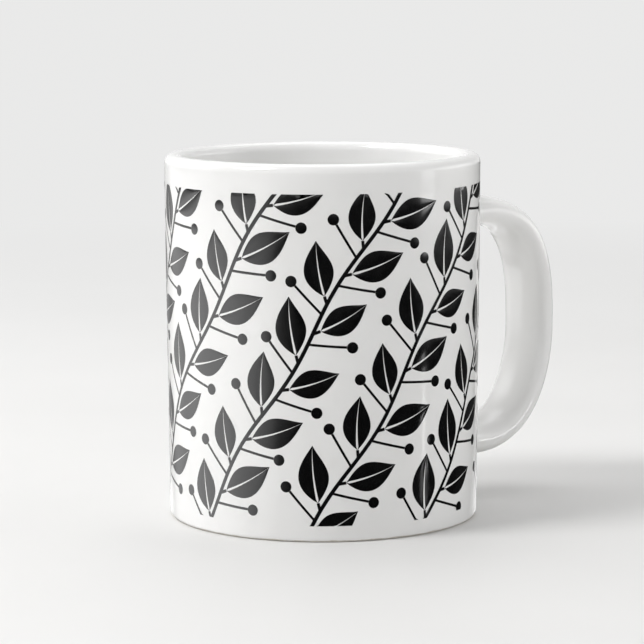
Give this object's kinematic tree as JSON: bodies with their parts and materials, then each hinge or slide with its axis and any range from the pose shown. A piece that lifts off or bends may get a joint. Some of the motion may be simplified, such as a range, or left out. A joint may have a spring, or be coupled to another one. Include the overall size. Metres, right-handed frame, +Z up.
{
  "type": "mug",
  "caption": "Straight-sided white glazed ceramic mug with a thick rounded lip, an ear-shaped strap handle and a printed black leaf band round the wall; holds hot drinks.",
  "frame": {"origin": "on the table plane, under the middle of the whole mug's bounding box, handle included; the cup's own axis is 17.35 mm from it on the -X side", "axes": "+Z up along the cup's axis, +X from the cup towards the handle, +Y across the handle's plane; the foot stands on z = 0"},
  "size_m": [0.117, 0.0822, 0.0946],
  "materials": {
    "cup_glaze": "clear gloss glaze over white ceramic, with a bare foot ring",
    "handle_glaze": "clear gloss glaze over white ceramic",
    "slip_glaze": "glazed over, a little softer where the glaze pools",
    "printed_film": "gloss white ground with glossy black leaves"
  },
  "bodies": {
    "root": {"cup_body": "cup_glaze", "handle": "handle_glaze", "upper_slip_joint": "slip_glaze", "lower_slip_joint": "slip_glaze", "print_wrap": "printed_film"}
  },
  "joints": []
}
